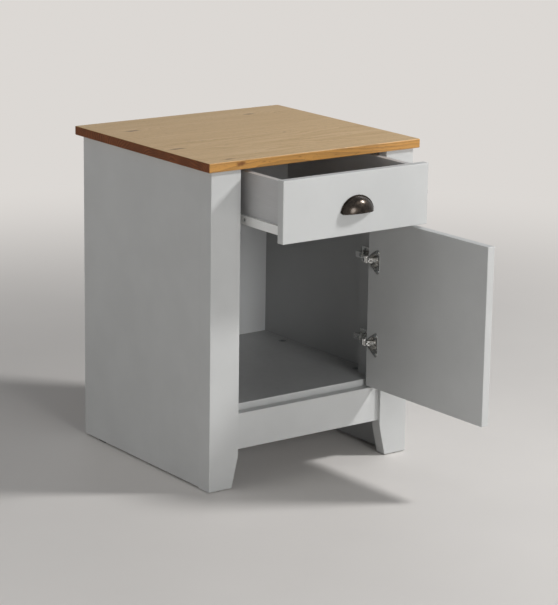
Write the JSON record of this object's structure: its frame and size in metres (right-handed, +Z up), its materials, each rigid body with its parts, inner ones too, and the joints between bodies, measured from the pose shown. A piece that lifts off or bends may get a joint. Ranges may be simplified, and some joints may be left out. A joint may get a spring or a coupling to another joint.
{
  "type": "bedside locker",
  "caption": "Grey-painted bedside locker with a wooden top, a drawer with a cup handle on roller runners and a cupboard below with a door on cup hinges",
  "frame": {"origin": "On the floor, midway between the sides and midway between the legs' front faces and the side panels' back edges.", "axes": "+Z up, +X to the right as seen from the front, +Y towards the back."},
  "size_m": [0.448, 0.7092, 0.575],
  "materials": {
    "oak": "oiled satin",
    "grey_paint": "satin grey paint",
    "grey_paint_inside": "satin grey paint",
    "back_board": "satin grey paint",
    "drawer_board": "satin grey paint",
    "white_epoxy": "satin white",
    "roller_nylon": "matte",
    "nickel": "satin nickel plate",
    "zinc_steel": "zinc plate",
    "cast_zinc": "as cast",
    "antique_bronze": "antique satin",
    "beech": "plain",
    "glide_plastic": "matte"
  },
  "bodies": {
    "carcass": {"top_board": "oak", "left_side_panel": "grey_paint", "right_side_panel": "grey_paint", "left_inner_side": "grey_paint_inside", "right_inner_side": "grey_paint_inside", "left_front_leg": "grey_paint", "right_front_leg": "grey_paint", "bottom_rail": "grey_paint", "rail_dowels": "beech", "base_shelf": "grey_paint_inside", "cam_locks": "cast_zinc", "cam_bolts": "zinc_steel", "back_panel": "back_board", "back_panel_pins": "zinc_steel", "rear_glides": "glide_plastic", "front_glides": "glide_plastic", "top_blocks": "grey_paint_inside", "top_screws": "zinc_steel", "block_screws": "zinc_steel", "left_runner_packer": "grey_paint_inside", "right_runner_packer": "grey_paint_inside", "left_cabinet_runner": "white_epoxy", "right_cabinet_runner": "white_epoxy", "cabinet_runner_screws": "zinc_steel", "front_roller_axles": "zinc_steel", "hinge_cleat": "grey_paint_inside", "upper_hinge_plate": "nickel", "lower_hinge_plate": "nickel", "hinge_plate_screws": "zinc_steel", "upper_hinge_arm": "nickel", "lower_hinge_arm": "nickel", "hinge_arm_screws": "zinc_steel", "hinge_pins": "nickel"},
    "drawer": {"drawer_front": "grey_paint", "drawer_left_side": "drawer_board", "drawer_right_side": "drawer_board", "drawer_back": "drawer_board", "drawer_bottom": "drawer_board", "drawer_dowels": "beech", "drawer_back_screws": "zinc_steel", "left_drawer_runner": "white_epoxy", "right_drawer_runner": "white_epoxy", "drawer_runner_screws": "zinc_steel", "rear_roller_axles": "zinc_steel", "cup_handle": "antique_bronze", "handle_screws": "zinc_steel"},
    "front_rollers": {"left_front_roller": "roller_nylon", "right_front_roller": "roller_nylon"},
    "rear_rollers": {"left_rear_roller": "roller_nylon", "right_rear_roller": "roller_nylon"},
    "door": {"door_panel": "grey_paint", "upper_hinge_cup": "nickel", "lower_hinge_cup": "nickel", "hinge_cup_screws": "zinc_steel", "door_knob": "antique_bronze", "knob_stud": "zinc_steel"},
    "hinge_links": {"upper_hinge_link": "nickel", "lower_hinge_link": "nickel"}
  },
  "joints": [
    {"name": "drawer_slide", "type": "slide", "parent": "carcass", "child": "drawer", "axis": [0, -1, 0], "range_m": [-0.123, 0.127]},
    {"name": "front_roller_spin", "type": "hinge", "parent": "carcass", "child": "front_rollers", "pos_m": [0, -0.167, 0.4698], "axis": [1, 0, 0], "range_deg": [-1020, 1050]},
    {"name": "rear_roller_spin", "type": "hinge", "parent": "drawer", "child": "rear_rollers", "pos_m": [0, 0.036, 0.4673], "axis": [1, 0, 0], "range_deg": [-1020, 1050]},
    {"name": "door_hinge", "type": "hinge", "parent": "carcass", "child": "door", "pos_m": [0.1457, -0.1943, 0.289], "axis": [0, 0, 1], "range_deg": [-91.5, 13.5]},
    {"name": "hinge_link_turn", "type": "hinge", "parent": "carcass", "child": "hinge_links", "pos_m": [0.1295, -0.1856, 0.289], "axis": [0, 0, 1], "range_deg": [-13, 86]}
  ],
  "couplings": [
    {"joint": "front_roller_spin", "follows": "drawer_slide", "rad_per_m": 142.86},
    {"joint": "rear_roller_spin", "follows": "drawer_slide", "rad_per_m": 142.86},
    {"joint": "hinge_link_turn", "follows": "door_hinge", "ratio": -0.93}
  ]
}
